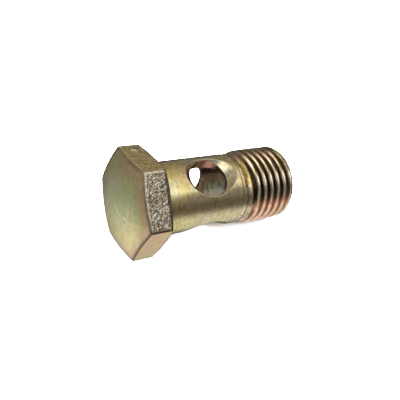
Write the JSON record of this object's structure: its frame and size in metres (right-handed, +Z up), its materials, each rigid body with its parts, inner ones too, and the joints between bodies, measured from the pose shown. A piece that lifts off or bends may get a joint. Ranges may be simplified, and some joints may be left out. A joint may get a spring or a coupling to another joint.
{
  "type": "banjo bolt",
  "caption": "Hollow hexagon-head bolt with radial cross holes into an axial bore and a fine metric thread, for clamping a banjo pipe fitting to a port.",
  "frame": {"origin": "centre of the bottom of the bounding box, with the bolt lying as it rests on a flat surface", "axes": "+X along the bolt's length towards the thread end, +Z up; the bolt's own axis is pitched 3.36 degrees down towards the thread end, because the head is wider than the thread"},
  "size_m": [0.0336, 0.0196, 0.0172],
  "materials": {
    "plated_steel": "yellow-passivated zinc plating on turned steel, satin, olive-gold"
  },
  "bodies": {
    "root": {"banjo_bolt": "plated_steel"}
  },
  "joints": []
}
